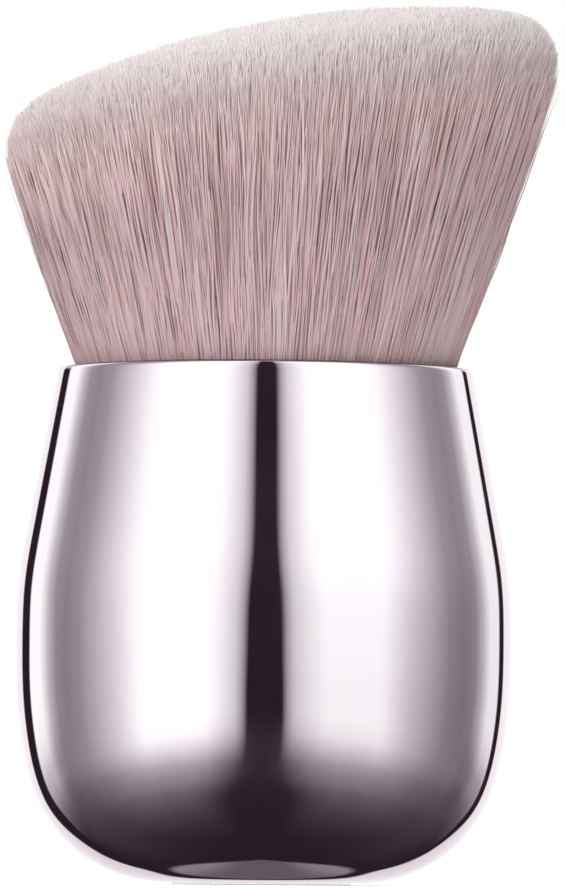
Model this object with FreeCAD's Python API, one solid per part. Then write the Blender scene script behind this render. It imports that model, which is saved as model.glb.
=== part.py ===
"""Kabuki makeup brush: a short mirror-finished handle with a fanned, slant-cut bristle head.

The handle is a one-piece drawn metal shell, tapered at the neck and rounded at the heel. A moulded
core inside it carries a steel weight below and the bristle knot above. The knot is a bundle of
filaments, tied with thread, potted in epoxy and seated in a drawn ferrule cup. The filaments fan out
through the flared throat of the core and fill the lip of the shell.

Frame: millimetres, +Z up along the handle's axis, origin at the centre of the standing face.
The head is cut on a slant that rises towards +X. Y is the depth, and Y = 0 is the mirror plane.
"""

import FreeCAD, Part
import math
import os

from FreeCAD import Vector

# Shell of the handle
HANDLE_HEIGHT = 51.6      # standing face to the top of the lip
LIP_RADIUS = 20.7         # outside of the lip
BELLY_BULGE = 3.9         # how far the belly stands out past the lip
BELLY_BAND = 5.3          # height of the straight band round the belly
SHOULDER_ROUND = 29.0     # arc between the tapered neck and the belly band
HIP_ROUND = 48.0          # slow arc below the belly band
HIP_TURN = 13.3           # degrees that the slow arc turns through
HEEL_ROUND = 14.0         # quick arc from the hip to the flat base
SHELL_WALL = 1.2

# Foot disc, set into a shallow seat in the base
FOOT_RADIUS = 9.0
FOOT_SEAT_DEPTH = 0.5
FOOT_PROUD = 0.2          # how far the disc stands below the shell
FOOT_EDGE_ROUND = 0.15

# Core inside the shell
CORE_WALL = 1.4
CORE_WEB = 2.0            # floor between the weight's chamber and the ferrule's socket
CORE_SETBACK = 1.6        # top of the core below the top of the lip
THROAT_CLEARANCE = 0.15   # between the fanned filaments and the core's throat
CORE_RIB_COUNT = 6
CORE_RIB_WIDTH = 1.2

# Weight in the bottom of the core
WEIGHT_RADIUS = 11.5
WEIGHT_HEIGHT = 8.0
WEIGHT_EDGE_CHAMFER = 0.6

# Bristle knot: ferrule cup, epoxy root plug and thread binding
KNOT_RADIUS = 13.2        # filament bundle where the ferrule holds it
FERRULE_HEIGHT = 10.0
FERRULE_WALL = 0.5
FERRULE_SETBACK = 0.4     # rim of the ferrule below the point where the filaments start to fan
FERRULE_EYE_RADIUS = 4.0  # hole in the cup's floor, which the epoxy keys into
PLUG_DEPTH = 3.0
BINDING_HEIGHT = 3.0
BINDING_THICKNESS = 0.8
BINDING_ROUND = 0.3
BINDING_LIFT = 0.6        # binding above the root plug

# Cured adhesive
NECK_BOND_HEIGHT = 4.0    # bead between the core's collar and the shell
FLOOR_BOND_RADIUS = 8.6
SOCKET_BOND_THICKNESS = 0.5

# Bristle head
HEAD_HEIGHT = 36.2        # top of the lip to the highest tips
LIP_GAP = 0.55            # between the filaments and the inside of the lip
FAN_ANGLE = 19.0          # degrees between the outer filaments and the axis
CROWN_RADIUS = 89.0       # the cut is a shallow dome of this radius
CROWN_SHIFT = 16.3        # the dome's highest point, off the axis towards +X
CROWN_EDGE_ROUND = 6.3    # soft edge between the flank and the cut

# Fits
FIT = 0.1                 # gap round a piece that slides into its seat
BOND_SKIN = 0.03          # gap drawn round adhesive, so that neighbours never overlap

UP = Vector(0, 0, 1)
FULL_TURN = 360.0


def at(radius, height):
    """A point of a turned profile."""
    return Vector(radius, 0, height)


def polar(centre, radius, angle):
    """The point at an angle, in degrees, on a circle in the profile plane."""
    turn = math.radians(angle)
    return centre + at(radius * math.cos(turn), radius * math.sin(turn))


def line(start, end):
    return Part.LineSegment(start, end).toShape()


def arc(centre, radius, start, end):
    """An arc of the profile plane between two angles in degrees."""
    middle = (start + end) / 2
    points = [polar(centre, radius, angle) for angle in (start, middle, end)]
    return Part.Arc(*points).toShape()


def turned(edges):
    """The solid of revolution of a closed profile about the brush's axis."""
    face = Part.Face(Part.Wire(Part.__sortEdges__(edges)))
    return face.revolve(Vector(), UP, FULL_TURN)


def turned_polygon(points):
    """The solid of revolution of a profile with straight sides."""
    closed = points + points[:1]
    return turned([line(a, b) for a, b in zip(closed, closed[1:])])


def disc(radius, bottom, top):
    return Part.makeCylinder(radius, top - bottom, at(0, bottom), UP)


# Places on the shell that follow from the driving sizes
BELLY_RADIUS = LIP_RADIUS + BELLY_BULGE
HIP_DROP = (HIP_ROUND - HEEL_ROUND) * math.sin(math.radians(HIP_TURN))
BELLY_LOW = FOOT_PROUD + HEEL_ROUND + HIP_DROP
BELLY_TOP = BELLY_LOW + BELLY_BAND
SHOULDER_CENTRE = at(BELLY_RADIUS - SHOULDER_ROUND, BELLY_TOP)
HIP_CENTRE = at(BELLY_RADIUS - HIP_ROUND, BELLY_LOW)
HEEL_CENTRE = polar(HIP_CENTRE, HIP_ROUND - HEEL_ROUND, -HIP_TURN)
LIP_CENTRE = at(LIP_RADIUS - SHELL_WALL / 2, HANDLE_HEIGHT - SHELL_WALL / 2)


def neck_taper():
    """Degrees between the neck's straight flank and the axis: a tangent from the lip to the shoulder."""
    reach = LIP_CENTRE - SHOULDER_CENTRE
    direction = math.degrees(math.atan2(reach.z, reach.x))
    middle_round = SHOULDER_ROUND - SHELL_WALL / 2
    return direction - math.degrees(math.acos(middle_round / reach.Length))


NECK_TAPER = neck_taper()
SHELL_FLOOR = FOOT_PROUD + SHELL_WALL
MOUTH_RADIUS = polar(LIP_CENTRE, -SHELL_WALL / 2, NECK_TAPER).x


def shell_curve(depth):
    """The shell's profile at a depth under its outer surface, from the lip down to the axis."""
    lip = polar(LIP_CENTRE, SHELL_WALL / 2 - depth, NECK_TAPER)
    shoulder = polar(SHOULDER_CENTRE, SHOULDER_ROUND - depth, NECK_TAPER)
    belly_top = at(BELLY_RADIUS - depth, BELLY_TOP)
    belly_low = at(BELLY_RADIUS - depth, BELLY_LOW)
    base_edge = polar(HEEL_CENTRE, HEEL_ROUND - depth, -90)
    return [
        line(lip, shoulder),
        arc(SHOULDER_CENTRE, SHOULDER_ROUND - depth, NECK_TAPER, 0),
        line(belly_top, belly_low),
        arc(HIP_CENTRE, HIP_ROUND - depth, 0, -HIP_TURN),
        arc(HEEL_CENTRE, HEEL_ROUND - depth, -HIP_TURN, -90),
        line(base_edge, at(0, base_edge.z)),
    ]


def cavity():
    """The room inside the shell, drawn a skin smaller, up to the lip."""
    curve = shell_curve(SHELL_WALL + BOND_SKIN)
    lip = curve[0].Vertexes[0].Point
    floor = curve[-1].Vertexes[-1].Point
    return turned(curve + [line(lip, at(0, lip.z)), line(at(0, lip.z), floor)])


# Places inside the handle
BUNDLE_LIP_RADIUS = MOUTH_RADIUS - LIP_GAP
FAN_SLOPE = math.tan(math.radians(FAN_ANGLE))


def fan_height(radius):
    """The height at which the fanned flank of the bristles has a radius."""
    return HANDLE_HEIGHT - (BUNDLE_LIP_RADIUS - radius) / FAN_SLOPE


def fan_radius(height):
    """The radius of the fanned flank of the bristles at a height."""
    return BUNDLE_LIP_RADIUS - (HANDLE_HEIGHT - height) * FAN_SLOPE


FAN_START = fan_height(KNOT_RADIUS)
FERRULE_BORE = KNOT_RADIUS + FIT
FERRULE_RADIUS = FERRULE_BORE + FERRULE_WALL
FERRULE_TOP = FAN_START - FERRULE_SETBACK
FERRULE_BOTTOM = FERRULE_TOP - FERRULE_HEIGHT
PLUG_BOTTOM = FERRULE_BOTTOM + FERRULE_WALL
PLUG_TOP = PLUG_BOTTOM + PLUG_DEPTH
BINDING_BOTTOM = PLUG_TOP + BINDING_LIFT
BINDING_TOP = BINDING_BOTTOM + BINDING_HEIGHT

SOCKET_RADIUS = FERRULE_RADIUS + FIT
SOCKET_FLOOR = FERRULE_BOTTOM - SOCKET_BOND_THICKNESS
CHAMBER_RADIUS = WEIGHT_RADIUS + FIT
CHAMBER_TOP = SOCKET_FLOOR - CORE_WEB
CORE_FOOT_RADIUS = CHAMBER_RADIUS + CORE_WALL
CORE_SOCKET_RADIUS = SOCKET_RADIUS + CORE_WALL
CORE_TOP = HANDLE_HEIGHT - CORE_SETBACK
COLLAR_RADIUS = MOUTH_RADIUS - FIT


def heel_rise(radius):
    """How far the shell's inside floor has risen, at a radius, above its flat middle."""
    inner_round = HEEL_ROUND - SHELL_WALL
    out = max(radius - HEEL_CENTRE.x, 0)
    return inner_round - math.sqrt(inner_round ** 2 - out ** 2)


CORE_FOOT = SHELL_FLOOR + heel_rise(CORE_FOOT_RADIUS) + FIT


def throat_radius(height):
    return fan_radius(height) + THROAT_CLEARANCE


def handle_shell():
    """Drawn shell: tapered neck with a full-round lip, belly, rounded heel and seated base."""
    outside = shell_curve(0)
    inside = shell_curve(SHELL_WALL)
    lip = arc(LIP_CENTRE, SHELL_WALL / 2, NECK_TAPER, NECK_TAPER + 180)
    base = line(outside[-1].Vertexes[-1].Point, inside[-1].Vertexes[-1].Point)
    shell = turned(outside + inside + [lip, base])
    seat = disc(FOOT_RADIUS + FIT, 0, FOOT_PROUD + FOOT_SEAT_DEPTH)
    return shell.cut(seat)


def foot_disc():
    """Disc in the base's seat, a little proud, so that the brush stands on it."""
    blank = disc(FOOT_RADIUS, 0, FOOT_PROUD + FOOT_SEAT_DEPTH)
    rim = [e for e in blank.Edges if e.BoundBox.ZMax < FOOT_PROUD and e.BoundBox.XLength > FOOT_RADIUS]
    return blank.makeFillet(FOOT_EDGE_ROUND, rim)


def core_envelope():
    """The core's outside, filled: foot tube, socket tube, funnel and collar."""
    funnel_wall = CORE_WALL / math.cos(math.radians(FAN_ANGLE))
    funnel_low = fan_height(CORE_SOCKET_RADIUS - funnel_wall - THROAT_CLEARANCE)
    funnel_high = fan_height(COLLAR_RADIUS - funnel_wall - THROAT_CLEARANCE)
    return turned_polygon([
        at(0, CORE_FOOT),
        at(CORE_FOOT_RADIUS, CORE_FOOT),
        at(CORE_FOOT_RADIUS, CHAMBER_TOP),
        at(CORE_SOCKET_RADIUS, CHAMBER_TOP),
        at(CORE_SOCKET_RADIUS, funnel_low),
        at(COLLAR_RADIUS, funnel_high),
        at(COLLAR_RADIUS, CORE_TOP),
        at(0, CORE_TOP),
    ])


def core_ribs():
    """Fins from the foot tube to the socket's overhang, which stiffen the core."""
    length = CORE_SOCKET_RADIUS - CHAMBER_RADIUS - FIT
    height = CHAMBER_TOP - CORE_FOOT - CORE_WEB
    corner = Vector(CHAMBER_RADIUS + FIT, -CORE_RIB_WIDTH / 2, CORE_FOOT + CORE_WEB)
    fin = Part.makeBox(length, CORE_RIB_WIDTH, height, corner)
    fins = []
    for number in range(CORE_RIB_COUNT):
        copy = fin.copy()
        copy.rotate(Vector(), UP, FULL_TURN * number / CORE_RIB_COUNT)
        fins.append(copy)
    return fins


def handle_core():
    """Moulded core: chamber for the weight below, socket for the ferrule and flared throat above."""
    chamber = disc(CHAMBER_RADIUS, CORE_FOOT, CHAMBER_TOP)
    socket_top = fan_height(SOCKET_RADIUS - THROAT_CLEARANCE)
    throat = turned_polygon([
        at(0, SOCKET_FLOOR),
        at(SOCKET_RADIUS, SOCKET_FLOOR),
        at(SOCKET_RADIUS, socket_top),
        at(throat_radius(CORE_TOP), CORE_TOP),
        at(0, CORE_TOP),
    ])
    solid = core_envelope().fuse(core_ribs())
    return solid.cut([chamber, throat]).removeSplitter()


def weight_slug():
    """Steel slug that sits low in the core and keeps the brush upright."""
    slug = disc(WEIGHT_RADIUS, CORE_FOOT, CORE_FOOT + WEIGHT_HEIGHT)
    rims = [e for e in slug.Edges if e.BoundBox.XLength > WEIGHT_RADIUS and e.BoundBox.ZLength < FIT]
    return slug.makeChamfer(WEIGHT_EDGE_CHAMFER, rims)


def floor_bond():
    """Pad of adhesive between the shell's floor and the core with its weight."""
    return disc(FLOOR_BOND_RADIUS, 0, CORE_FOOT).common(cavity())


def neck_bond():
    """Bead of adhesive in the wedge between the core's funnel and the neck of the shell."""
    top = CORE_TOP - FIT
    band = disc(BELLY_RADIUS, top - NECK_BOND_HEIGHT, top)
    ring = band.common(cavity())
    return ring.cut(core_envelope())


def socket_bond():
    """Disc of adhesive under the ferrule cup."""
    return disc(SOCKET_RADIUS - FIT, SOCKET_FLOOR, FERRULE_BOTTOM)


def ferrule_cup():
    """Drawn cup round the roots, with an eye in its floor."""
    return turned_polygon([
        at(FERRULE_EYE_RADIUS, FERRULE_BOTTOM),
        at(FERRULE_RADIUS, FERRULE_BOTTOM),
        at(FERRULE_RADIUS, FERRULE_TOP),
        at(FERRULE_BORE, FERRULE_TOP),
        at(FERRULE_BORE, PLUG_BOTTOM),
        at(FERRULE_EYE_RADIUS, PLUG_BOTTOM),
    ])


def root_plug():
    """Epoxy that pots the roots, keyed through the ferrule's eye."""
    eye = FERRULE_EYE_RADIUS - BOND_SKIN
    return turned_polygon([
        at(0, FERRULE_BOTTOM),
        at(eye, FERRULE_BOTTOM),
        at(eye, PLUG_BOTTOM),
        at(KNOT_RADIUS, PLUG_BOTTOM),
        at(KNOT_RADIUS, PLUG_TOP),
        at(0, PLUG_TOP),
    ])


def root_binding():
    """Band of wound thread that ties the bundle above its roots."""
    band = disc(KNOT_RADIUS, BINDING_BOTTOM, BINDING_TOP)
    bore = disc(KNOT_RADIUS - BINDING_THICKNESS, BINDING_BOTTOM, BINDING_TOP)
    ring = band.cut(bore)
    rims = [e for e in ring.Edges if e.BoundBox.ZLength < FIT]
    return ring.makeFillet(min(BINDING_ROUND, BINDING_THICKNESS / 2 - BOND_SKIN), rims)


def bristle_bundle():
    """Filament bundle: tied root, fanned flank and slanted, softly domed cut."""
    head_top = HANDLE_HEIGHT + HEAD_HEIGHT
    waist = KNOT_RADIUS - BINDING_THICKNESS - BOND_SKIN
    fan = turned_polygon([
        at(0, PLUG_TOP),
        at(KNOT_RADIUS, PLUG_TOP),
        at(KNOT_RADIUS, BINDING_BOTTOM - BOND_SKIN),
        at(waist, BINDING_BOTTOM - BOND_SKIN),
        at(waist, BINDING_TOP + BOND_SKIN),
        at(KNOT_RADIUS, BINDING_TOP + BOND_SKIN),
        at(KNOT_RADIUS, FAN_START),
        at(fan_radius(head_top), head_top),
        at(0, head_top),
    ])
    crown = Part.makeSphere(CROWN_RADIUS, Vector(CROWN_SHIFT, 0, head_top - CROWN_RADIUS))
    head = fan.common(crown)
    edge = max((e for e in head.Edges if e.BoundBox.ZMin > HANDLE_HEIGHT), key=lambda e: e.BoundBox.XLength)
    return head.makeFillet(CROWN_EDGE_ROUND, [edge])


PIECES = [
    handle_shell,
    foot_disc,
    handle_core,
    weight_slug,
    floor_bond,
    neck_bond,
    socket_bond,
    ferrule_cup,
    root_plug,
    root_binding,
    bristle_bundle,
]


def main():
    os.makedirs("parts", exist_ok=True)
    for make in PIECES:
        shape = make()
        solids = shape.Solids
        if len(solids) != 1 or not shape.isValid():
            raise ValueError(f"{make.__name__} has {len(solids)} solids, valid: {shape.isValid()}")
        solids[0].exportStep(f"parts/{make.__name__}.step")
        box = shape.BoundBox
        print(f"{make.__name__}: {shape.Volume:.1f} mm3, z {box.ZMin:.2f} to {box.ZMax:.2f}, "
              f"x {box.XMin:.2f} to {box.XMax:.2f}")


main()
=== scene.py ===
# %% [markdown]
# # A kabuki brush with a mirror handle
#
# The brush stands on a white table: a short drawn-metal handle, polished to a mirror with a rose
# tint, and a fan of fine mauve filaments cut on a slant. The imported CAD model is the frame. This
# lesson dresses it: a fine lathe mesh for the mirror, Geometry Nodes for the filaments, and a
# simple studio whose panels the mirror can show.

import math
from types import SimpleNamespace

import bmesh
import bpy
import numpy as np
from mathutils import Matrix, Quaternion, Vector


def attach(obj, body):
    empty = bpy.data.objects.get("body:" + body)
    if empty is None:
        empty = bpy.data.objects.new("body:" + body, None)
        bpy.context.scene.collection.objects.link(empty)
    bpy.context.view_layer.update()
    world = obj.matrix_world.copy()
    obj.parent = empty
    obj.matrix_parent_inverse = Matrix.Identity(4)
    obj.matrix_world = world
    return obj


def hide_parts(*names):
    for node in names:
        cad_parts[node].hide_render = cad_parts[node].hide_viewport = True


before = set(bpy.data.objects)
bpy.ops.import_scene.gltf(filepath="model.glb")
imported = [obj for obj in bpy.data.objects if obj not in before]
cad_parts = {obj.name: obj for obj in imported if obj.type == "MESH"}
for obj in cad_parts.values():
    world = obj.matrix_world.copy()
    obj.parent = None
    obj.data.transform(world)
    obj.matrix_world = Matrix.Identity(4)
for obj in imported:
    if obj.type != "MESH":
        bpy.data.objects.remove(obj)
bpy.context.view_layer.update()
MM = 0.001

# %% [markdown]
# ## Nodes as expressions
#
# Materials, the world and the filaments all need node trees. Written node by node they are hard to
# read, so one small class wraps a socket. Adding or multiplying two of them adds the Math node that
# does it, and `node` adds any other kind: first its settings, then numbers or links for its sockets.

# %% A socket that can stand in a Python expression
class Link:
    def __init__(self, tree, socket=None):
        self.tree = tree
        self.socket = socket

    def node(self, kind, settings=None, inputs=None, out=0):
        made = self.tree.nodes.new(kind)
        for name, value in (settings or {}).items():
            if name == "stops":
                ramp = made.color_ramp.elements
                while len(ramp) < len(value):
                    ramp.new(1.0)
                for stop, (place, shade) in zip(ramp, value):
                    stop.position = place
                    stop.color = shade
            else:
                setattr(made, name, value)
        self.feed(made, inputs or {})
        return Link(self.tree, made.outputs[out]) if made.outputs else made

    def feed(self, made, inputs):
        """Fill sockets of a node with links or numbers."""
        for key, value in inputs.items():
            if isinstance(value, Link):
                self.tree.links.new(value.socket, made.inputs[key])
            else:
                made.inputs[key].default_value = value

    def pick(self, out):
        """Another output of the same node."""
        return Link(self.tree, self.socket.node.outputs[out])

    def math(self, operation, *values):
        return self.node("ShaderNodeMath", {"operation": operation}, dict(enumerate(values)))

    def vector(self, operation, *values):
        return self.node("ShaderNodeVectorMath", {"operation": operation}, dict(enumerate(values)))

    def point(self, x=0.0, y=0.0, z=0.0):
        return self.node("ShaderNodeCombineXYZ", inputs={"X": x, "Y": y, "Z": z})

    def axes(self, vector):
        """The X of a vector, which picks Y and Z too."""
        return self.node("ShaderNodeSeparateXYZ", inputs={0: vector})

    def mix(self, factor, first, second, kind="RGBA"):
        """A mix of two colours, or of two vectors. Each kind has its own sockets on the node."""
        a, b, out = {"VECTOR": (4, 5, 1), "RGBA": (6, 7, 2)}[kind]
        values = {"Factor": factor, a: first, b: second}
        return self.node("ShaderNodeMix", {"data_type": kind}, values, out)

    def ease(self, value, low, high, start=0.0, end=1.0):
        """Start where the value is below low, end where it is above high, smooth between."""
        return self.node("ShaderNodeMapRange", {"interpolation_type": "SMOOTHSTEP"}, {
            "Value": value, "From Min": low, "From Max": high, "To Min": start, "To Max": end})

    def __add__(self, other):
        return self.math("ADD", self, other)

    def __radd__(self, other):
        return self.math("ADD", other, self)

    def __sub__(self, other):
        return self.math("SUBTRACT", self, other)

    def __rsub__(self, other):
        return self.math("SUBTRACT", other, self)

    def __mul__(self, other):
        return self.math("MULTIPLY", self, other)

    def __rmul__(self, other):
        return self.math("MULTIPLY", other, self)

    def __truediv__(self, other):
        return self.math("DIVIDE", self, other)

    def __rtruediv__(self, other):
        return self.math("DIVIDE", other, self)


def colour(red, green, blue):
    """A display colour, 0 to 255, as the linear values that a socket takes."""
    def linear(value):
        value = value / 255
        return value / 12.92 if value <= 0.04045 else ((value + 0.055) / 1.055) ** 2.4
    return (linear(red), linear(green), linear(blue), 1.0)


def grey(level):
    return (level, level, level, 1.0)


print("A mid grey of 128 is", round(colour(128, 128, 128)[0], 3), "in linear light")

# %% [markdown]
# ## Camera
#
# The photograph was taken from about a metre away with a long lens, from just above the table. The
# front of the lip bows upwards in the picture, which puts the eye below it. A tenth of a millimetre
# covers one pixel, so the frame is 88.8 mm tall where the brush stands. The brush leans half a degree
# to the right, which is a small roll of the camera.

# %% Place the camera
VIEW_HEIGHT = 88.8 * MM
CAMERA_DISTANCE = 1.0
CAMERA_HEIGHT = 3.0 * MM
SENSOR_SIZE = 36.0
AIM = Vector((1.75 * MM, 0, 44.1 * MM))
ROLL = math.radians(0.45)

camera_data = bpy.data.cameras.new("photo_camera")
camera_data.sensor_width = SENSOR_SIZE
camera_data.lens = SENSOR_SIZE * CAMERA_DISTANCE / VIEW_HEIGHT
camera = bpy.data.objects.new("photo_camera", camera_data)
bpy.context.scene.collection.objects.link(camera)
camera.location = (AIM.x, -CAMERA_DISTANCE, CAMERA_HEIGHT)
look = (AIM - camera.location).to_track_quat("-Z", "Y")
camera.rotation_euler = (look @ Quaternion((0, 0, 1), ROLL)).to_euler()
bpy.context.scene.camera = camera
print("Lens", round(camera_data.lens, 1), "mm, pitch", round(math.degrees(camera.rotation_euler.x) - 90, 2))

# %% [markdown]
# ## The room in the mirror
#
# A mirror has no look of its own: it shows the room. The photograph's room can be read off the
# handle. A dark slit faces the front, where the camera stands between two white panels. The panels
# fade out towards the sides, a second pair stands behind, and between those hangs a pale backdrop.
# Lamps and cards could be set up for all of this, but each would also light the filaments. So the
# room is a formula of the direction that a reflected ray leaves in. Its bearing, counted from the
# camera's side, and its height over the horizon are in degrees.

# %% Brightness of the room by bearing and by height, in stops
PANEL_BEARINGS = [
    (6, 0), (8.5, 0.36), (12, 0.68), (18, 0.92), (27, 1.22), (58, 1.22), (67, 1.03), (76, 0.8), (88, 0.52),
    (97, 0.34), (108, 0.27), (117, 0.32), (124, 0.58), (132, 1.05), (150, 1.05), (165, 0)]
GLOW_BEARINGS = [
    (0, 0.04), (5, 0.06), (8.6, 0.105), (16, 0.37), (25, 0.73), (36, 0.97), (60, 1), (75, 0.82), (90, 0.55),
    (105, 0.36), (130, 0.2), (150, 0.03), (170, 0)]
HEIGHT_FALL = [
    (-80, 0.001), (-65, 0.02), (-55, 0.05), (-47, 0.09), (-40, 0.14), (-30, 0.3), (-25, 0.42), (-20, 0.69),
    (-16, 0.93), (-12, 1)]


def ramp_of(g, angle, places):
    """A brightness that follows a few (angle, brightness) stops."""
    first, last = places[0][0], places[-1][0]
    stops = [((place - first) / (last - first), grey(level)) for place, level in places]
    return g.node("ShaderNodeValToRGB", {"stops": stops}, {"Fac": (angle - first) / (last - first)})


def eased(g, value, stops):
    """A number that eases from one (place, number) stop to the other."""
    (low, start), (high, end) = stops
    return g.ease(value, low, high, start, end)


print("Room stops:", len(PANEL_BEARINGS) + len(GLOW_BEARINGS), "bearings,", len(HEIGHT_FALL), "heights")

# %% What the room asks of a reflected ray
DEGREES = 180 / math.pi
ON_THE_RIGHT = [(-0.3, 0), (0.3, 1)]
LOW_DOWN = [(-8, 1), (25, 0)]


def reflected_ray(g, way):
    across = g.axes(way)
    away, above = across.pick("Y"), across.pick("Z")
    height = g.math("ARCSINE", above) * DEGREES
    return SimpleNamespace(
        across=across, away=away, above=above, height=height,
        bearing=g.math("ARCTAN2", across, -1 * away) * DEGREES,
        aside=g.math("ABSOLUTE", across),
        right=eased(g, across, ON_THE_RIGHT),
        low=eased(g, height, LOW_DOWN))


print("A ray counts as low from", LOW_DOWN[0][0], "degrees down, and not at all from", LOW_DOWN[1][0])

# %% [markdown]
# ### Slit and panels
#
# Both sides of the room are nearly alike, so one set of stops serves both: degrees are counted from
# the middle of the slit. What differs is a small shift of those degrees. The slit leans and is wider
# low down, and the rear panel on the left comes further round. Low down the panels themselves are
# out of sight and only their glow on the table shows, so two sets of stops are mixed by height.

# %% Degrees from the middle of the slit
SLIT_BEARING = [(-36, -1.25), (-12, 0.9)]
SLIT_NARROWED = [(-12, -2.25), (40, 1.75)]
NARROWED_NEAR = [(25, 1), (60, 0)]
REAR_LEFT_ROUND = [(95, 0), (115, 3)]


def degrees_off_slit(g, ray):
    off = g.math("ABSOLUTE", ray.bearing - eased(g, ray.height, SLIT_BEARING))
    off = off + eased(g, ray.height, SLIT_NARROWED) * eased(g, off, NARROWED_NEAR)
    return off + ray.low * (1 - ray.right) * eased(g, off, REAR_LEFT_ROUND)


print("The middle of the slit runs from", SLIT_BEARING[0][1], "to", SLIT_BEARING[1][1], "degrees")

# %% Panels, and their glow on the table
PANELS_IN_SIGHT = [(-32, 0), (-8, 1)]
GLOW_WIDER = [(-50, 10), (-28, 0)]
SHADE_BEHIND = [(106, 0), (126, 1)]
SHADE_BEGINS = [(-32, 0), (-20, 1)]
SHADE_ENDS = [(-13, 1), (-4, 0)]
SHADE_DEPTH = 0.45
SHADE_DEEPER_RIGHT = 0.15
DIMMED_RIGHT = [(0.1, 0), (0.5, 0.19)]
DIMMED_SIDES = [(0.8, 0), (0.98, 0.19)]


def panel_light(g, ray):
    off = degrees_off_slit(g, ray)
    sight = eased(g, ray.height, PANELS_IN_SIGHT)
    glow = ramp_of(g, off - eased(g, ray.height, GLOW_WIDER), GLOW_BEARINGS)
    light = ramp_of(g, off, PANEL_BEARINGS) * sight + glow * (1 - sight)
    shade = eased(g, ray.height, SHADE_BEGINS) * eased(g, ray.height, SHADE_ENDS)
    shade = shade * eased(g, off, SHADE_BEHIND)
    dimmed = eased(g, ray.across, DIMMED_RIGHT) + eased(g, ray.aside, DIMMED_SIDES)
    light = light * (1 - (SHADE_DEPTH + SHADE_DEEPER_RIGHT * ray.right) * shade) * (1 - ray.low * dimmed)
    return light * ramp_of(g, ray.height, HEIGHT_FALL)


print("Brightest panel:", max(level for _, level in PANEL_BEARINGS))

# %% [markdown]
# ### Backdrop and card
#
# Straight behind the brush hangs a round pale backdrop. Its black edge is broader on the left. A card
# lies on the table behind the brush, paler at its two ends, and shows as a lens low on the heel. Both
# are round in the mirror, so they are cut out by how much a ray points their way, not by degrees.

# %% Backdrop, its black edge and the card
EDGE_FROM = (0.77, 0.79)
EDGE_THINNER_RIGHT = 0.035
EDGE_BROADER_LOW = [(-25, 0.03), (-12, 0)]
EDGE_ENDS = [(10, 1), (20, 0)]
BACKDROP_FROM = (0.842, 0.858)
BACKDROP_WIDER_RIGHT = 0.013
BACKDROP_SMALLER_HIGH = [(-25, 0), (-10, 0.05)]
BACKDROP_SMALLER_MIDDLE = [(0.05, 0.07), (0.2, 0)]
BACKDROP_LIGHT = [(-30, 0.7), (0, 0.93)]
CARD_FROM = (0.932, 0.945)
CARD_AWAY = 0.68
CARD_BELOW = 0.73
CARD_POINTED = 0.2
CARD_LIGHT = [(0.05, 0.1), (0.16, 0.22)]


def backdrop_edge(g, ray):
    toward = ray.away - EDGE_THINNER_RIGHT * ray.right + eased(g, ray.height, EDGE_BROADER_LOW)
    return g.ease(toward, *EDGE_FROM) * eased(g, ray.height, EDGE_ENDS)


def backdrop_light(g, ray):
    inset = eased(g, ray.height, BACKDROP_SMALLER_HIGH) + eased(g, ray.aside, BACKDROP_SMALLER_MIDDLE)
    toward = ray.away + BACKDROP_WIDER_RIGHT * ray.right - inset
    return g.ease(toward, *BACKDROP_FROM) * eased(g, ray.height, BACKDROP_LIGHT)


def card_light(g, ray):
    toward = CARD_AWAY * ray.away - CARD_BELOW * ray.above - CARD_POINTED * ray.aside
    return g.ease(toward, *CARD_FROM) * eased(g, ray.aside, CARD_LIGHT)


def mirrored_room(g, way):
    """The brightness of the whole room, and of its panels alone."""
    ray = reflected_ray(g, way)
    panels = panel_light(g, ray) * (1 - backdrop_edge(g, ray))
    return g.math("MAXIMUM", panels, backdrop_light(g, ray)) + card_light(g, ray), panels


print("The backdrop fills", round(math.acos(BACKDROP_FROM[0]) * DEGREES, 1), "degrees to each side")

# %% [markdown]
# ## World
#
# Light Path tells a ray's errand, so one world can serve three. The camera, looking straight at it or
# through something clear, sees plain white. A reflected ray sees the room, over a dark plum tone,
# because no corner of a real room is black. All other rays only light the brush, and for them the sky
# has no edges: it is strong from the left, the front and above, and fades towards the other side. The
# bright panels are also a touch cooler than the rose metal, so that they look white in it.

# %% World: white to the camera, the room to the mirror, soft light to the rest
SOFT_LEVEL = 0.79
SOFT_FROM = Vector((-0.58, -0.46, 0.3))
PANEL_WHITE = (0.97, 1.06, 0.99, 1)
PANEL_WHITE_FROM = (0.35, 0.9)
DARK_CORNER = colour(40, 30, 37)
LIGHT_BOUNCES = 8


def studio_world():
    world = bpy.data.worlds.new("studio")
    world.use_nodes = True
    tree = world.node_tree
    tree.nodes.clear()
    g = Link(tree)
    way = g.node("ShaderNodeTexCoord", out="Generated")
    room, panels = mirrored_room(g, way)
    rays = g.node("ShaderNodeLightPath", out="Is Camera Ray")
    seen = g.math("MAXIMUM", rays, rays.pick("Is Transmission Ray"))
    mirrored = rays.pick("Is Glossy Ray")
    soft = 1 + g.vector("DOT_PRODUCT", way, SOFT_FROM).pick("Value")
    level = seen + (1 - seen) * (mirrored * room + (1 - mirrored) * soft * soft * SOFT_LEVEL)
    white = g.mix(mirrored * g.ease(panels, *PANEL_WHITE_FROM), grey(1), PANEL_WHITE)
    sky = g.node("ShaderNodeBackground", inputs={"Color": white, "Strength": level})
    dark = g.node("ShaderNodeBackground", inputs={"Color": DARK_CORNER, "Strength": (1 - seen) * mirrored})
    both = g.node("ShaderNodeAddShader", inputs={0: sky, 1: dark})
    g.node("ShaderNodeOutputWorld", inputs={"Surface": both})
    return world


bpy.context.scene.world = studio_world()
bpy.context.scene.view_settings.view_transform = "Standard"
bpy.context.scene.cycles.diffuse_bounces = LIGHT_BOUNCES
print("World nodes:", len(bpy.context.scene.world.node_tree.nodes))

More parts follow.
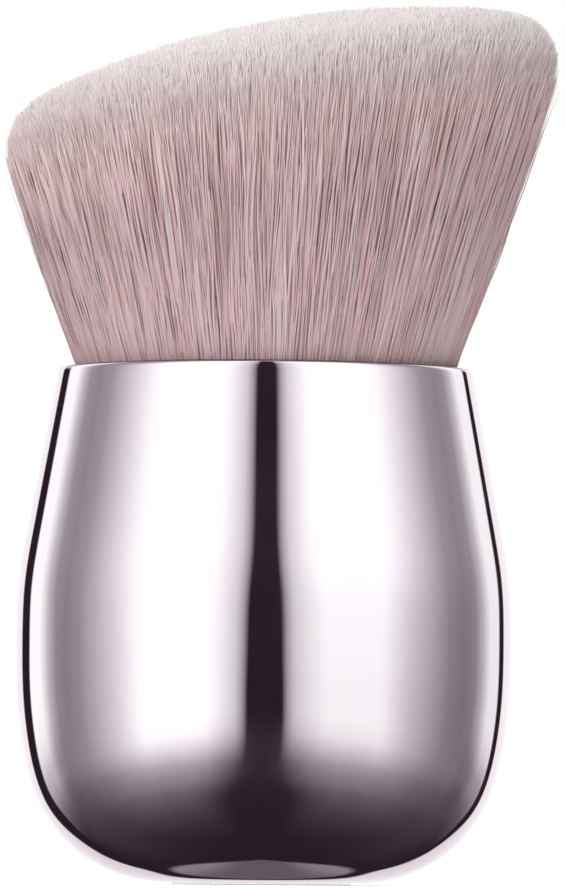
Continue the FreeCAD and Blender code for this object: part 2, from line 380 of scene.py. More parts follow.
# %% [markdown]
# ## Table
#
# The table is a wide white disc. It takes the brush's shadow, and to the camera alone it glows a
# little, so that it runs into the white background. It stays out of reflections, where the room's
# formula already holds a table. No lamp is needed: the soft sky lights it all.

# %% Table: pale, with the shadow kept
TABLE_RADIUS = 4.0
TABLE_SIDES = 96
TABLE_WHITE = 0.9
TABLE_GLOW = 0.55


def table_material():
    material = bpy.data.materials.new("pale_table")
    material.use_nodes = True
    tree = material.node_tree
    tree.nodes.clear()
    g = Link(tree)
    rays = g.node("ShaderNodeLightPath", out="Is Camera Ray")
    paint = g.node("ShaderNodeBsdfDiffuse", inputs={"Color": grey(TABLE_WHITE)})
    glow = g.node("ShaderNodeEmission", inputs={"Color": grey(1), "Strength": TABLE_GLOW})
    lifted = g.node("ShaderNodeAddShader", inputs={0: paint, 1: glow})
    surface = g.node("ShaderNodeMixShader", inputs={0: rays, 1: paint, 2: lifted})
    g.node("ShaderNodeOutputMaterial", inputs={"Surface": surface})
    return material


bpy.ops.mesh.primitive_circle_add(vertices=TABLE_SIDES, radius=TABLE_RADIUS, fill_type="NGON")
table = bpy.context.object
table.name = "table"
table.data.materials.append(table_material())
table.visible_glossy = False
print("Table of", round(table.dimensions.x, 2), "m across")

# %% [markdown]
# ## The mirror shell
#
# The real handle is drawn from one piece of metal. Its profile is a chain of straight lines and arcs
# turned about the axis. The CAD mesh has that shape, but two things would show in a mirror: its flat
# facets, and the sudden change of curvature where one arc meets the next. Drawn metal has neither. So
# the wall is described by its heading along its length, the heading is averaged over a few
# millimetres, and the points follow by adding up small steps. The result stays within a few tenths
# of a millimetre of the arcs.

# %% Sizes of the shell in mm, and the arcs that they give
HANDLE_HEIGHT = 51.6
LIP_RADIUS = 20.7
BELLY_RADIUS = 24.6
SHELL_WALL = 1.2
FOOT_PROUD = 0.2
SEAT_RADIUS = 9.1
SEAT_TOP = 0.7
SHOULDER_ROUND = 29.0
HIP_ROUND = 48.0
HEEL_ROUND = 14.0
HIP_TURN = math.radians(13.3)
BELLY_BAND = 5.3

belly_low = FOOT_PROUD + HEEL_ROUND + (HIP_ROUND - HEEL_ROUND) * math.sin(HIP_TURN)
belly_top = belly_low + BELLY_BAND
shoulder_centre = np.array([BELLY_RADIUS - SHOULDER_ROUND, belly_top])
hip_centre = np.array([BELLY_RADIUS - HIP_ROUND, belly_low])
heel_centre = hip_centre + (HIP_ROUND - HEEL_ROUND) * np.array([math.cos(HIP_TURN), -math.sin(HIP_TURN)])
lip_centre = np.array([LIP_RADIUS - SHELL_WALL / 2, HANDLE_HEIGHT - SHELL_WALL / 2])
reach = lip_centre - shoulder_centre
neck_length = math.sqrt(reach @ reach - (SHOULDER_ROUND - SHELL_WALL / 2) ** 2)
neck_taper = math.atan2(reach[1], reach[0]) - math.atan2(neck_length, SHOULDER_ROUND - SHELL_WALL / 2)
print("Neck:", round(neck_length, 2), "mm long, taper", round(math.degrees(neck_taper), 2), "degrees")

# %% Outside of the wall, with each bend eased into the next
EASED_OVER = 5.0
WALL_STEP = 0.5


def eased_wall():
    """Radius and height from the edge of the flat under the heel up to the lip."""
    bends = [
        (HEEL_ROUND * (math.pi / 2 - HIP_TURN), math.pi / 2 - HIP_TURN),
        (HIP_ROUND * HIP_TURN, HIP_TURN),
        (BELLY_BAND, 0),
        (SHOULDER_ROUND * neck_taper, neck_taper),
        (neck_length, 0),
    ]
    ends, headings = np.cumsum([(0, 0)] + bends, axis=0).T
    count = round(ends[-1] / WALL_STEP)
    middles = (np.arange(count) + 0.5) * ends[-1] / count
    heading = np.interp(middles, ends, headings)
    window = round(EASED_OVER / WALL_STEP)
    for before, after in [(window // 2, (window - 1) // 2), ((window - 1) // 2, window // 2)]:
        longer = np.pad(heading, (before, after), "reflect", reflect_type="odd")
        heading = np.convolve(longer, np.full(window, 1 / window), "valid")
    steps = np.column_stack([np.cos(heading), np.sin(heading)]) * ends[-1] / count
    wall = np.vstack([[0, 0], np.cumsum(steps, axis=0)]) + [heel_centre[0], FOOT_PROUD]
    lip = lip_centre + SHELL_WALL / 2 * np.array([math.cos(neck_taper), math.sin(neck_taper)])
    print("Easing moved the lip by", np.round(wall[-1] - lip, 3), "mm, which is taken back")
    return wall + np.linspace(0, 1, count + 1)[:, None] * (lip - wall[-1])


outside_wall = eased_wall()
print("Wall:", len(outside_wall), "points, widest at", round(outside_wall[:, 0].max(), 2), "mm")

# %% The whole profile: seat for the foot, outside, lip, inside
LIP_POINTS = 13
HEEL_POINTS = 24
HIP_POINTS = 8
SHOULDER_POINTS = 10


def round_run(centre, radius, start, end, count):
    turns = np.linspace(start, end, count)
    return np.column_stack([centre[0] + radius * np.cos(turns), centre[1] + radius * np.sin(turns)])


def shell_profile():
    seat = [(SEAT_RADIUS, SEAT_TOP), (SEAT_RADIUS, FOOT_PROUD)]
    lip = round_run(lip_centre, SHELL_WALL / 2, neck_taper, neck_taper + math.pi, LIP_POINTS)[1:]
    heel = round_run(heel_centre, HEEL_ROUND - SHELL_WALL, -math.pi / 2, -HIP_TURN, HEEL_POINTS)
    hip = round_run(hip_centre, HIP_ROUND - SHELL_WALL, -HIP_TURN, 0, HIP_POINTS)
    shoulder = round_run(shoulder_centre, SHOULDER_ROUND - SHELL_WALL, 0, neck_taper, SHOULDER_POINTS)
    inside = np.vstack([heel, hip[1:], shoulder])[::-1]
    return np.vstack([seat, outside_wall, lip, inside])


profile = shell_profile()
print("Shell profile:", len(profile), "points")

# %% Turn the profile about the axis
SHELL_SIDES = 256
SHARP_FROM = math.radians(35)


def turned(name, points, sides):
    """A closed mesh of revolution, with a flat fan at each end of the profile."""
    turns = np.arange(sides) * 2 * math.pi / sides
    ring = np.column_stack([np.cos(turns), np.sin(turns)])
    rows = [np.column_stack([r * ring, np.full(sides, z)]) for r, z in points]
    hubs = [[0, 0, points[0][1]], [0, 0, points[-1][1]]]
    verts = np.vstack(rows + [hubs]) * MM
    first_hub = len(points) * sides
    last_row = first_hub - sides
    faces = []
    for row in range(0, last_row, sides):
        for side in range(sides):
            a, b = row + side, row + (side + 1) % sides
            faces.append((a, b, b + sides, a + sides))
    for side in range(sides):
        after = (side + 1) % sides
        faces.append((first_hub, after, side))
        faces.append((first_hub + 1, last_row + side, last_row + after))
    mesh = bpy.data.meshes.new(name)
    mesh.from_pydata(verts.tolist(), [], faces)
    mesh.shade_smooth()
    mesh.set_sharp_from_angle(angle=SHARP_FROM)
    piece = bpy.data.objects.new(name, mesh)
    bpy.context.scene.collection.objects.link(piece)
    return piece


mirror_shell = turned("mirror_shell", profile, SHELL_SIDES)
print("Mirror shell:", len(mirror_shell.data.polygons), "faces")

# %% [markdown]
# ## Rose mirror
#
# The shell is polished and plated with a rose tint, which is simply the base colour of a metal. A
# perfect mirror looks computed, so a slow noise lets the gloss drift a little and a faint relief
# makes the reflections waver, as polished sheet does. The very top of the lip is painted darker,
# which is painted shade where the filaments meet the lip.

# %% Helpers for every finish
NOISE_MIDDLE = (0.3, 0.7)


def open_material(name):
    material = bpy.data.materials.new(name)
    material.use_nodes = True
    return material, material.node_tree.nodes["Principled BSDF"], Link(material.node_tree)


def spot(g):
    """The place on the piece, in its own coordinates."""
    return g.node("ShaderNodeTexCoord", out="Object")


def drift(g, grain, detail=3.0):
    """A noise over the piece, with the grain as the size of its patches."""
    return g.node("ShaderNodeTexNoise", inputs={"Vector": spot(g), "Scale": 1 / grain, "Detail": detail})


def patches(g, grain):
    """The same noise, stretched to reach from 0 to 1."""
    return g.ease(drift(g, grain), *NOISE_MIDDLE)


def relief(g, height, depth):
    return g.node("ShaderNodeBump", inputs={"Height": height, "Strength": 1.0, "Distance": depth})


print("A noise from", NOISE_MIDDLE[0], "to", NOISE_MIDDLE[1], "is stretched to the whole range")

# %% Rose mirror for the shell
ROSE_METAL = [(0.945, 0.815, 0.92, 1), (0.955, 0.83, 0.93, 1)]
ROSE_GRAIN = 9 * MM
MIRROR_GLOSS = 0.035
MIRROR_GLOSS_DRIFT = 0.02
WAVER_GRAIN = 6 * MM
WAVER_DEPTH = 0.002 * MM
# Painted shade: the very top of the lip is painted darker, for the crevice under the filaments
LIP_PAINTED_SHADE = colour(140, 126, 132)
LIP_SHADE_FROM = (51.3 * MM, 51.5 * MM)


def rose_mirror():
    material, surface, g = open_material("rose_mirror")
    height = g.axes(spot(g)).pick("Z")
    tone = patches(g, ROSE_GRAIN)
    # painted shade at the very top of the lip, where the filaments meet it
    shade = g.mix(g.ease(height, *LIP_SHADE_FROM), g.mix(tone, *ROSE_METAL), LIP_PAINTED_SHADE)
    g.feed(surface, {
        "Base Color": shade, "Metallic": 1.0, "Roughness": MIRROR_GLOSS + MIRROR_GLOSS_DRIFT * tone,
        "Normal": relief(g, drift(g, WAVER_GRAIN, 1.0), WAVER_DEPTH)})
    return material


mirror_shell.data.materials.append(rose_mirror())
print("Rose mirror nodes:", len(mirror_shell.data.materials[0].node_tree.nodes))

# %% [markdown]
# ## Foot and hidden pieces
#
# The CAD nodes under the shell keep their shapes and get finishes that fit how they are made. The
# foot is a clear cast disc. The core is moulded with a matte grain, the slug is turned on a lathe,
# the cup is deep-drawn, the adhesives are cloudy, and the binding is wound thread. Three of these show
# a rule, rings, draw lines and turns, so their relief is a sine or a stretched noise instead of a
# plain one.

# %% A plain finish: colour and gloss drift over a fine relief
RELIEF_FINER = 10
FOOT_CLEAR = 0.25


def finish(name, dark, light, gloss, grain, depth):
    material, surface, g = open_material(name)
    tone = patches(g, grain)
    smooth, rough = gloss
    g.feed(surface, {
        "Base Color": g.mix(tone, dark, light), "Roughness": smooth + (rough - smooth) * tone,
        "Normal": relief(g, drift(g, grain / RELIEF_FINER, 2.0), depth)})
    return material


def adhesive(name):
    return finish(
        name, dark=colour(214, 203, 172), light=colour(233, 227, 206),
        gloss=(0.2, 0.35), grain=4 * MM, depth=0.02 * MM)


def clear_foot():
    material = finish(
        "clear_foot", dark=colour(236, 228, 231), light=colour(248, 244, 246),
        gloss=(0.2, 0.3), grain=3 * MM, depth=0.004 * MM)
    material.node_tree.nodes["Principled BSDF"].inputs["Alpha"].default_value = FOOT_CLEAR
    return material


core_plastic = finish(
    "core_plastic", dark=colour(219, 218, 214), light=colour(230, 229, 226),
    gloss=(0.5, 0.65), grain=3 * MM, depth=0.03 * MM)
print("Plain finishes ready, such as", core_plastic.name)

# %% Finishes with a rule: lathe rings, draw lines and turns of thread
RING_PITCH = 0.35 * MM
THREAD_PITCH = 0.4 * MM
DRAW_LINES_ROUND = 45.0
DRAW_LINES_BROKEN = 20


def ruled_finish(name, dark, light, metallic, gloss, depth, rule):
    """The rule gives a height from the place on the piece. It drives colour, gloss and relief."""
    material, surface, g = open_material(name)
    place = g.axes(spot(g))
    height = rule(g, place, place.pick("Y"), place.pick("Z"))
    smooth, rough = gloss
    g.feed(surface, {
        "Base Color": g.mix(height, dark, light), "Metallic": metallic,
        "Roughness": rough - (rough - smooth) * height, "Normal": relief(g, height, depth)})
    return material


def wave(g, turn):
    return 0.5 + 0.5 * g.math("SINE", turn)


def lathe_rings(g, x, y, z):
    radius = g.math("SQRT", x * x + y * y)
    return wave(g, (radius + z) * (2 * math.pi / RING_PITCH))


def draw_lines(g, x, y, z):
    bearing = g.math("ARCTAN2", y, x)
    stretched = g.point(g.math("COSINE", bearing), g.math("SINE", bearing), DRAW_LINES_BROKEN * z)
    return g.node("ShaderNodeTexNoise", inputs={
        "Vector": stretched, "Scale": DRAW_LINES_ROUND, "Detail": 2.0})


def thread_turns(g, x, y, z):
    return wave(g, z * (2 * math.pi / THREAD_PITCH) + g.math("ARCTAN2", y, x))


weight_steel = ruled_finish(
    "weight_steel", dark=colour(138, 138, 142), light=colour(168, 168, 171),
    metallic=1.0, gloss=(0.28, 0.42), depth=0.02 * MM, rule=lathe_rings)
ferrule_metal = ruled_finish(
    "ferrule_metal", dark=colour(192, 192, 198), light=colour(216, 216, 220),
    metallic=1.0, gloss=(0.22, 0.38), depth=0.01 * MM, rule=draw_lines)
binding_thread = ruled_finish(
    "binding_thread", dark=colour(176, 164, 148), light=colour(220, 211, 198),
    metallic=0.0, gloss=(0.7, 0.9), depth=0.12 * MM, rule=thread_turns)
print("Ruled finishes:", weight_steel.name, ferrule_metal.name, binding_thread.name)

# %% Give each CAD node its finish
NODE_FINISHES = {
    "foot_disc": clear_foot(),
    "handle_core": core_plastic,
    "weight_slug": weight_steel,
    "floor_bond": adhesive("floor_adhesive"),
    "neck_bond": adhesive("neck_adhesive"),
    "socket_bond": adhesive("socket_adhesive"),
    "ferrule_cup": ferrule_metal,
    "root_plug": adhesive("root_epoxy"),
    "root_binding": binding_thread,
}
for node_name, material in NODE_FINISHES.items():
    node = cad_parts[node_name]
    node.data.materials.clear()
    node.data.materials.append(material)
print("Finished:", sorted(NODE_FINISHES))

# %% [markdown]
# ## Filaments
#
# All filaments fan out from one virtual point under the table, because the tied bundle spreads
# evenly. So a filament needs only two numbers, how far out it stands and at which bearing, and its
# tip follows from the slanted dome that the head was cut to. Hair particles would make strands too,
# but they need converting and give less say over where each one ends.

# %% Sizes of the head in mm
LIP_BUNDLE_RADIUS = 18.96
FAN_SLOPE = math.tan(math.radians(19.0))
APEX_HEIGHT = HANDLE_HEIGHT - LIP_BUNDLE_RADIUS / FAN_SLOPE
HEAD_TOP = 87.8
CROWN_RADIUS = 89.0
CROWN_SHIFT = 16.3
CROWN_EDGE_ROUND = 6.3
print("The fan starts", round(APEX_HEIGHT, 2), "mm from the table")

# %% [markdown]
# ## Filament finish
#
# Each synthetic filament is dyed mauve, some cooler and some warmer than their neighbours. The tips
# are ground to a fine point, which lets light through, so they look almost white. The higher tips are
# painted whiter still, which is painted light, as less of the head shades them. The nodes read one
# random number that each filament carries, the depth of the place below the cut, and its height.

# %% How pale a place is, and which way it faces
CROWN_CENTRE = Vector((CROWN_SHIFT, 0, HEAD_TOP - CROWN_RADIUS)) * MM
PALE_DEPTH = 15 * MM
PALE_PAST_CUT = 1 * MM


def bleached(g):
    """1 at the cut, falling to 0 some way below it."""
    from_centre = g.vector("DISTANCE", spot(g), CROWN_CENTRE).pick("Value")
    return g.ease(from_centre, CROWN_RADIUS * MM - PALE_DEPTH, CROWN_RADIUS * MM + PALE_PAST_CUT)


def soft_normal(g, pale):
    """Half the tube's own normal and half that of the whole head, as light soaks through filaments."""
    place = g.axes(spot(g))
    around = g.math("SQRT", place * place + place.pick("Y") * place.pick("Y"))
    flank = g.vector("NORMALIZE", g.point(place, place.pick("Y"), around * -FAN_SLOPE))
    crown = g.vector("NORMALIZE", g.vector("SUBTRACT", spot(g), CROWN_CENTRE))
    head = g.mix(pale, flank, crown, "VECTOR")
    tube = g.node("ShaderNodeNewGeometry", out="Normal")
    return g.vector("NORMALIZE", g.vector("ADD", head, tube))


print("Filaments start to pale", round(PALE_DEPTH / MM), "mm below the cut")

# %% Filament finish: a tint for each filament, and pale tips
COOL_MAUVE = [colour(189, 149, 157), colour(203, 186, 192)]
WARM_MAUVE = [colour(192, 149, 150), colour(205, 188, 186)]
WARMTH_REPEATS = 7
PALING = colour(240, 208, 206)
# Painted light: the tips' white runs from the shaded low tips to the lit high ones
TIP_WHITE_SHADED_TO_LIT = [colour(222, 208, 208), colour(252, 246, 244)]
TIPS_LIT_FROM = (72 * MM, 87 * MM)
FILAMENT_GLOSS = 0.45
FILAMENT_GLOSS_VARIES = 0.15
FILAMENT_SHEEN = 0.12


def mauve_filament():
    material, surface, g = open_material("mauve_filament")
    pale = bleached(g)
    tint = g.node("ShaderNodeAttribute", {"attribute_name": "tint"}, out="Fac")
    warmth = g.math("FRACT", WARMTH_REPEATS * tint)
    mauve = g.mix(warmth, g.mix(tint, *COOL_MAUVE), g.mix(tint, *WARM_MAUVE))
    # painted light: higher tips are painted whiter, as less of the head shades them
    lit = g.ease(g.axes(spot(g)).pick("Z"), *TIPS_LIT_FROM)
    tip = g.mix(pale, PALING, g.mix(lit, *TIP_WHITE_SHADED_TO_LIT))
    g.feed(surface, {
        "Base Color": g.mix(pale, mauve, tip), "Roughness": FILAMENT_GLOSS + FILAMENT_GLOSS_VARIES * warmth,
        "Specular IOR Level": FILAMENT_SHEEN, "Normal": soft_normal(g, pale)})
    return material


filament = mauve_filament()
print("Filament nodes:", len(filament.node_tree.nodes))

# %% [markdown]
# ## The fan as a Geometry Nodes tree
#
# One tree makes every layer of filaments: the flank that is seen from the side, the rim round the
# cut, the tips on top, and a few strays. It scatters points at the roots, puts a slim tube on each,
# bends the tubes and sets the finish. What differs between the layers is an input, and each random
# draw has its own salt beside the seed, so that a layer comes out the same on every run.

# %% Inputs of the tree
INPUTS = [
    ("Count", "NodeSocketInt", 1000),
    ("Seed", "NodeSocketInt", 1),
    ("Inner Share", "NodeSocketFloat", 0.8),
    ("Outer Share", "NodeSocketFloat", 1.0),
    ("First Bearing", "NodeSocketFloat", 0.0),
    ("Last Bearing", "NodeSocketFloat", 2 * math.pi),
    ("Width", "NodeSocketFloat", 0.1 * MM),
    ("Tip Width", "NodeSocketFloat", 0.15),
    ("Longest", "NodeSocketFloat", 60 * MM),
    ("Wander", "NodeSocketFloat", 0.15 * MM),
    ("Clump", "NodeSocketFloat", 0.33 * MM),
    ("Splay", "NodeSocketFloat", 0.0),
    ("Uneven Tips", "NodeSocketFloat", 0.5 * MM),
    ("Sides", "NodeSocketInt", 3),
    ("Segments", "NodeSocketInt", 12),
    ("Finish", "NodeSocketMaterial", None),
]


def open_tree():
    tree = bpy.data.node_groups.new("fan_of_filaments", "GeometryNodeTree")
    for name, kind, value in INPUTS:
        socket = tree.interface.new_socket(name, in_out="INPUT", socket_type=kind)
        if value is not None:
            socket.default_value = value
    tree.interface.new_socket("Geometry", in_out="OUTPUT", socket_type="NodeSocketGeometry")
    g = Link(tree)
    return g, g.node("NodeGroupInput", out="Count")


print("Fan inputs:", [name for name, _, _ in INPUTS])

# %% Small helpers for the tree
def chance(given, low, high, salt, kind="FLOAT"):
    """A random number, or vector, for each filament. The salt keeps the draws apart."""
    least, most, out = {"FLOAT": (2, 3, 1), "FLOAT_VECTOR": (0, 1, 0)}[kind]
    values = {least: low, most: high, "Seed": given.pick("Seed") + salt}
    return given.node("FunctionNodeRandomValue", {"data_type": kind}, values, out)


def store(geometry, name, value, kind="FLOAT"):
    settings = {"data_type": kind, "domain": "POINT"}
    values = {0: geometry, "Name": name, "Value": value}
    return geometry.node("GeometryNodeStoreNamedAttribute", settings, values)


def stored(g, name, kind="FLOAT"):
    return g.node("GeometryNodeInputNamedAttribute", {"data_type": kind}, {"Name": name})


def scaled(vector, amount):
    return vector.node("ShaderNodeVectorMath", {"operation": "SCALE"}, {0: vector, "Scale": amount})


print("Helpers:", [helper.__name__ for helper in (chance, store, stored, scaled)])

# %% [markdown]
# ### Roots and tips
#
# A filament starts in the handle, just under the lip, and points away from the apex of the fan. Its
# tip lies where that line meets the sphere of the cut. Outer tips end lower, because the cut's edge is
# rounded, and each tip is a random bit short, as no cut is perfect. What later nodes need is stored on
# the point: tint, length, splay, wave and heading.

# %% How far each tip is from the apex of the fan
EDGE_WIDTH = 0.97
EDGE_WIDER_RIGHT = 0.23


def tip_distance(g, given, share, bearing, lean, steep):
    crown = CROWN_CENTRE - Vector((0, 0, APEX_HEIGHT)) * MM
    along = (lean * crown.x + crown.z) * steep
    cut = along + g.math("SQRT", along * along + ((CROWN_RADIUS * MM) ** 2 - crown.length_squared))
    edge_round = CROWN_EDGE_ROUND * MM
    from_edge = (1 - share) * cut * steep * (FAN_SLOPE * math.cos(math.atan(FAN_SLOPE)))
    short = g.math("MAXIMUM", edge_round - g.math("MAXIMUM", from_edge, 0), 0)
    drop = edge_round - g.math("SQRT", edge_round ** 2 - short * short)
    wide = EDGE_WIDTH + EDGE_WIDER_RIGHT * g.math("COSINE", bearing)
    return cut - drop * wide - chance(given, 0, given.pick("Uneven Tips"), salt=3)


print("The outermost tips end about", CROWN_EDGE_ROUND, "mm below the sphere of the cut")

# %% Where each filament starts, which way it leans and how long it is
ROOT_HEIGHT = 49.8
SLOW_WAVE = 2 * math.pi / (48 * MM)
QUICK_WAVE = 2 * math.pi / (18 * MM)
LOCKS_ACROSS = 110.0
LOCK_SHARE = 0.5


def rooted_points(g, given):
    inner, outer = given.pick("Inner Share"), given.pick("Outer Share")
    share = g.math("SQRT", chance(given, inner * inner, outer * outer, salt=1))
    bearing = chance(given, given.pick("First Bearing"), given.pick("Last Bearing"), salt=2)
    lean_x = share * FAN_SLOPE * g.math("COSINE", bearing)
    lean_y = share * FAN_SLOPE * g.math("SINE", bearing)
    steep = 1 / g.math("SQRT", 1 + lean_x * lean_x + lean_y * lean_y)
    tip = tip_distance(g, given, share, bearing, lean_x, steep)
    root = g.math("MAXIMUM", (ROOT_HEIGHT - APEX_HEIGHT) * MM / steep, tip - given.pick("Longest"))
    start = g.point(lean_x * steep * root, lean_y * steep * root, steep * root + APEX_HEIGHT * MM)
    points = g.node("GeometryNodePoints", inputs={"Count": given, "Position": start})
    lock = g.node("ShaderNodeTexNoise", inputs={"Vector": g.point(lean_x, lean_y), "Scale": LOCKS_ACROSS})
    own_tint = (1 - LOCK_SHARE) * chance(given, 0, 1, salt=4)
    points = store(points, "tint", own_tint + LOCK_SHARE * g.ease(lock, *NOISE_MIDDLE))
    points = store(points, "length", tip - root)
    points = store(points, "splay", chance(given, 0, given.pick("Splay"), salt=7))
    waves = (0, 0, SLOW_WAVE), (2 * math.pi, 2 * math.pi, QUICK_WAVE)
    points = store(points, "wave", chance(given, *waves, salt=5, kind="FLOAT_VECTOR"), "FLOAT_VECTOR")
    return store(points, "heading", g.point(lean_x, lean_y, 1.0), "FLOAT_VECTOR")


print("Roots lie", round(HANDLE_HEIGHT - ROOT_HEIGHT, 2), "mm below the lip")

# %% [markdown]
# ### Shape and sway of a filament
#
# A curve with a profile would give a tube too, but a cylinder mesh of a few sides is lighter and its
# places are easy to move. It is made once at unit size, narrowed to its tip, and stretched to each
# filament's length. Straight tubes look like wire, so after the copies are made real each one gets
# its own gentle wave, and a noise moves neighbours together, as filaments cling in clumps.

# %% One filament of unit size: a slim tube that narrows to its tip
TAPER_POWER = 8


def unit_filament(g, given):
    tube = g.node("GeometryNodeMeshCylinder", {"fill_type": "NGON"}, {
        "Vertices": given.pick("Sides"), "Side Segments": given.pick("Segments"),
        "Radius": 1.0, "Depth": 1.0})
    axes = g.axes(g.node("GeometryNodeInputPosition"))
    rise = axes.pick("Z") + 0.5
    tube = store(tube, "rise", rise)
    slim = 1 - (1 - given.pick("Tip Width")) * g.math("POWER", rise, TAPER_POWER)
    narrowed = g.point(axes * slim, axes.pick("Y") * slim, rise)
    return g.node("GeometryNodeSetPosition", inputs={"Geometry": tube, "Position": narrowed})


print("Half of the narrowing is done at", round(0.5 ** (1 / TAPER_POWER), 2), "of the length")

# %% Sway of each filament by itself, and of neighbours together
SIDE_WAVE = 0.8
STEADY_ROOT = (0, 8 * MM)
CLUMPS_ACROSS = 42.0
CLUMPS_ALONG = 60.0
CLUMP_AT_LIP = 0.3
CLUMPS_LOOSEN = (50 * MM, 64 * MM)


def own_sway(g, given):
    run = stored(g, "rise") * stored(g, "length")
    start = g.axes(stored(g, "wave", "FLOAT_VECTOR"))
    phase = run * start.pick("Z")
    sway = g.point(g.math("SINE", start + phase), g.math("SINE", start.pick("Y") + SIDE_WAVE * phase))
    sway = scaled(sway, given.pick("Wander") * g.ease(run, *STEADY_ROOT))
    outwards = g.vector("MULTIPLY", stored(g, "heading", "FLOAT_VECTOR"), (1, 1, 0))
    return g.vector("ADD", sway, scaled(outwards, run * stored(g, "splay")))


def shared_sway(g, given):
    place = g.axes(g.node("GeometryNodeInputPosition"))
    fanned = CLUMPS_ACROSS / (place.pick("Z") - APEX_HEIGHT * MM)
    field = g.point(place * fanned, place.pick("Y") * fanned, CLUMPS_ALONG * place.pick("Z"))
    noise = g.node("ShaderNodeTexNoise", inputs={"Vector": field, "Scale": 1.0, "Detail": 1.0}, out="Color")
    loose = CLUMP_AT_LIP + (1 - CLUMP_AT_LIP) * g.ease(place.pick("Z"), *CLUMPS_LOOSEN)
    return scaled(g.vector("SUBTRACT", noise, (0.5, 0.5, 0.5)), 2 * given.pick("Clump") * loose)


def swayed(g, given, geometry):
    offset = g.vector("ADD", own_sway(g, given), shared_sway(g, given))
    return g.node("GeometryNodeSetPosition", inputs={"Geometry": geometry, "Offset": offset})


print("Clumps are fully loose", round(CLUMPS_LOOSEN[1] / MM - HANDLE_HEIGHT, 1), "mm above the lip")

# %% The whole tree
WIDTH_VARIES = (0.6, 1.4)


def filament_tree():
    g, given = open_tree()
    points = rooted_points(g, given)
    width = given.pick("Width") * chance(given, *WIDTH_VARIES, salt=6)
    heading = stored(g, "heading", "FLOAT_VECTOR")
    turn = g.node("FunctionNodeAlignRotationToVector", {"axis": "Z"}, {"Vector": heading})
    copies = g.node("GeometryNodeInstanceOnPoints", inputs={
        "Points": points, "Instance": unit_filament(g, given), "Rotation": turn,
        "Scale": g.point(width, width, stored(g, "length"))})
    real = g.node("GeometryNodeRealizeInstances", inputs={"Geometry": copies})
    smooth = g.node("GeometryNodeSetShadeSmooth", inputs={0: swayed(g, given, real)})
    done = g.node("GeometryNodeSetMaterial", inputs={"Geometry": smooth, "Material": given.pick("Finish")})
    g.node("NodeGroupOutput", inputs={0: done})
    return g.tree


fan_tree = filament_tree()
print("Fan tree:", len(fan_tree.nodes), "nodes")

# %% [markdown]
# ### Layers
#
# The flank is a thin skin of long filaments, which is all that the side shows. The rim and the tips
# are short pieces, because only their ends come out at the cut. The strays are few, thin and splayed.
# A layer is split by bearing into pieces, so that each mesh stays light. The modifier is then turned
# into a plain mesh, because the export takes meshes and drops instances.

# %% Make a piece from the tree
def fan_piece(name, **values):
    holder = bpy.data.objects.new(name, bpy.data.meshes.new(name))
    bpy.context.scene.collection.objects.link(holder)
    fan = holder.modifiers.new("fan", "NODES")
    fan.node_group = fan_tree
    for item in fan_tree.interface.items_tree:
        key = item.name.lower().replace(" ", "_")
        if item.in_out == "INPUT" and key in values:
            fan[item.identifier] = values[key]
    graph = bpy.context.evaluated_depsgraph_get()
    mesh = bpy.data.meshes.new_from_object(holder.evaluated_get(graph))
    holder.modifiers.remove(fan)
    holder.data = mesh
    mesh.name = name
    print(name, len(mesh.polygons), "faces")
    return holder


def fan_sectors(name, sectors, seed, **values):
    """The full circle of filaments, in as many pieces as keep each mesh light."""
    step = 2 * math.pi / sectors
    pieces = []
    for number in range(sectors):
        sector = {"first_bearing": step * number, "last_bearing": step * (number + 1)}
        label = f"{name}_{number + 1}"
        pieces.append(fan_piece(label, seed=seed + number, finish=filament, **sector, **values))
    return pieces


# %% Four layers of filaments
filament_pieces = fan_sectors(
    "flank_filaments", sectors=4, seed=20, count=1800, inner_share=0.96, outer_share=0.997,
    width=0.13 * MM, wander=0.2 * MM, uneven_tips=3.0 * MM)
filament_pieces += fan_sectors(
    "rim_filaments", sectors=4, seed=30, count=4000, inner_share=0.72, outer_share=0.975,
    width=0.11 * MM, tip_width=0.25, longest=22 * MM, uneven_tips=2.0 * MM, segments=4)
filament_pieces += fan_sectors(
    "tip_filaments", sectors=3, seed=40, count=17000, inner_share=0.0, outer_share=0.97,
    width=0.09 * MM, tip_width=0.5, longest=12 * MM, segments=1)
filament_pieces += fan_sectors(
    "stray_filaments", sectors=1, seed=50, count=300, inner_share=0.985, outer_share=0.998,
    width=0.06 * MM, splay=0.09, clump=0.5 * MM, uneven_tips=9.0 * MM)
print("Filament pieces:", len(filament_pieces))

# %% [markdown]
# ## Core of the head
#
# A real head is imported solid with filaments. Modelling all of them would take millions, and only the
# outer ones are seen. So a plain body fills the inside: a copy of the CAD bundle, drawn in under the
# filaments, with streaks that fan out as they do. It closes the gaps with a soft mauve, as the deeper
# filaments would.

# %% A body under the filaments, so that no gap shows through
CORE_SIDE_DEPTH = 0.58 * MM
CORE_RIM_DEPTH = 2.8 * MM
CORE_TOP_DEPTH = 1.4 * MM
CORE_DRAWN_FROM = 16 * MM
SAME_PLACE = 0.001 * MM


def core_depth(vert):
    """Deeper near the cut's edge, where the outer filaments end unevenly."""
    under_cut = CROWN_RADIUS * MM - (vert.co - CROWN_CENTRE).length
    near_cut = min(max(1 - under_cut / CORE_DRAWN_FROM, 0), 1)
    upwards = max(vert.normal.z, 0)
    most = CORE_RIM_DEPTH + (CORE_TOP_DEPTH - CORE_RIM_DEPTH) * upwards
    return CORE_SIDE_DEPTH + (most - CORE_SIDE_DEPTH) * near_cut


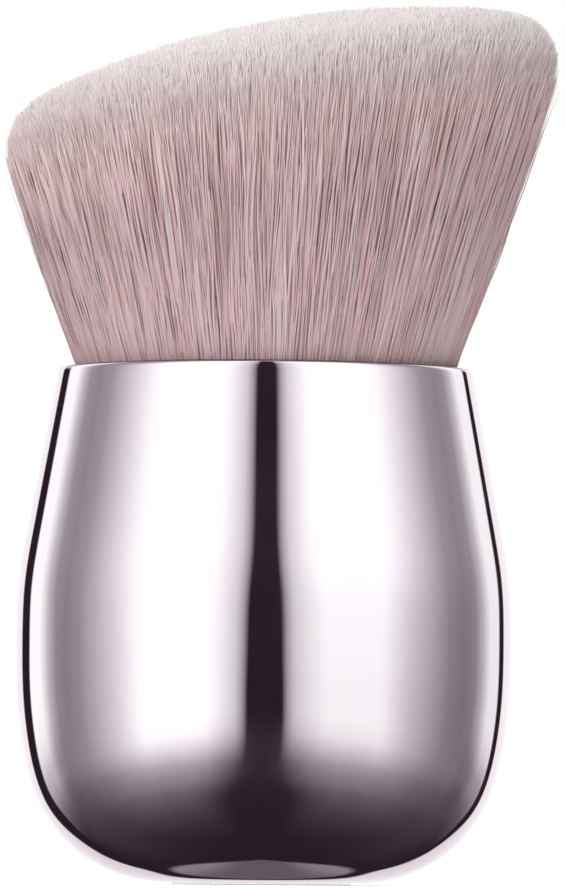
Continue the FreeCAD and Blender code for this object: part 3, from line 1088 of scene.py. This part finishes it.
def head_core_body():
    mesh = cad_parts["bristle_bundle"].data.copy()
    work = bmesh.new()
    work.from_mesh(mesh)
    bmesh.ops.remove_doubles(work, verts=work.verts, dist=SAME_PLACE)
    bmesh.ops.recalc_face_normals(work, faces=work.faces)
    inwards = [vert.normal * core_depth(vert) for vert in work.verts]
    for vert, step in zip(work.verts, inwards):
        vert.co -= step
    work.to_mesh(mesh)
    work.free()
    piece = bpy.data.objects.new("head_core", mesh)
    bpy.context.scene.collection.objects.link(piece)
    return piece


head_core = head_core_body()
print("Head core:", len(head_core.data.polygons), "faces")

# %% Finish of the core: streaks, and the same pale top
STREAKS_ACROSS = 260.0
STREAKS_BROKEN = 4
STREAK_MIDDLE = (0.35, 0.65)
STREAK_DEPTH = 0.15 * MM
PACKED_MAUVE = [colour(212, 142, 143), colour(228, 174, 175)]
PACKED_TIPS = [colour(232, 212, 214), colour(252, 240, 240)]
PACKED_GLOSS = 0.7
PACKED_GLOSS_VARIES = 0.15


def packed_filaments():
    material, surface, g = open_material("packed_filaments")
    place = g.axes(spot(g))
    fanned = 1 / (place.pick("Z") - APEX_HEIGHT * MM)
    lean = g.point(place * fanned, place.pick("Y") * fanned, STREAKS_BROKEN * place.pick("Z"))
    streak = g.node("ShaderNodeTexNoise", inputs={"Vector": lean, "Scale": STREAKS_ACROSS, "Detail": 2.0})
    tone = g.ease(streak, *STREAK_MIDDLE)
    shade = g.mix(bleached(g), g.mix(tone, *PACKED_MAUVE), g.mix(tone, *PACKED_TIPS))
    g.feed(surface, {
        "Base Color": shade, "Roughness": PACKED_GLOSS + PACKED_GLOSS_VARIES * tone,
        "Normal": relief(g, streak, STREAK_DEPTH)})
    return material


head_core.data.materials.clear()
head_core.data.materials.append(packed_filaments())
print("Core finish:", head_core.data.materials[0].name)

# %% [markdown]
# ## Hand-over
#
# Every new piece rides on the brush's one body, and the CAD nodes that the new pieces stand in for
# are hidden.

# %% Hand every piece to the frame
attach(mirror_shell, "root")
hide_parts("handle_shell")
for piece in filament_pieces + [head_core]:
    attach(piece, "root")
    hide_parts("bristle_bundle")
print("Pieces of the head handed over:", len(filament_pieces + [head_core]))
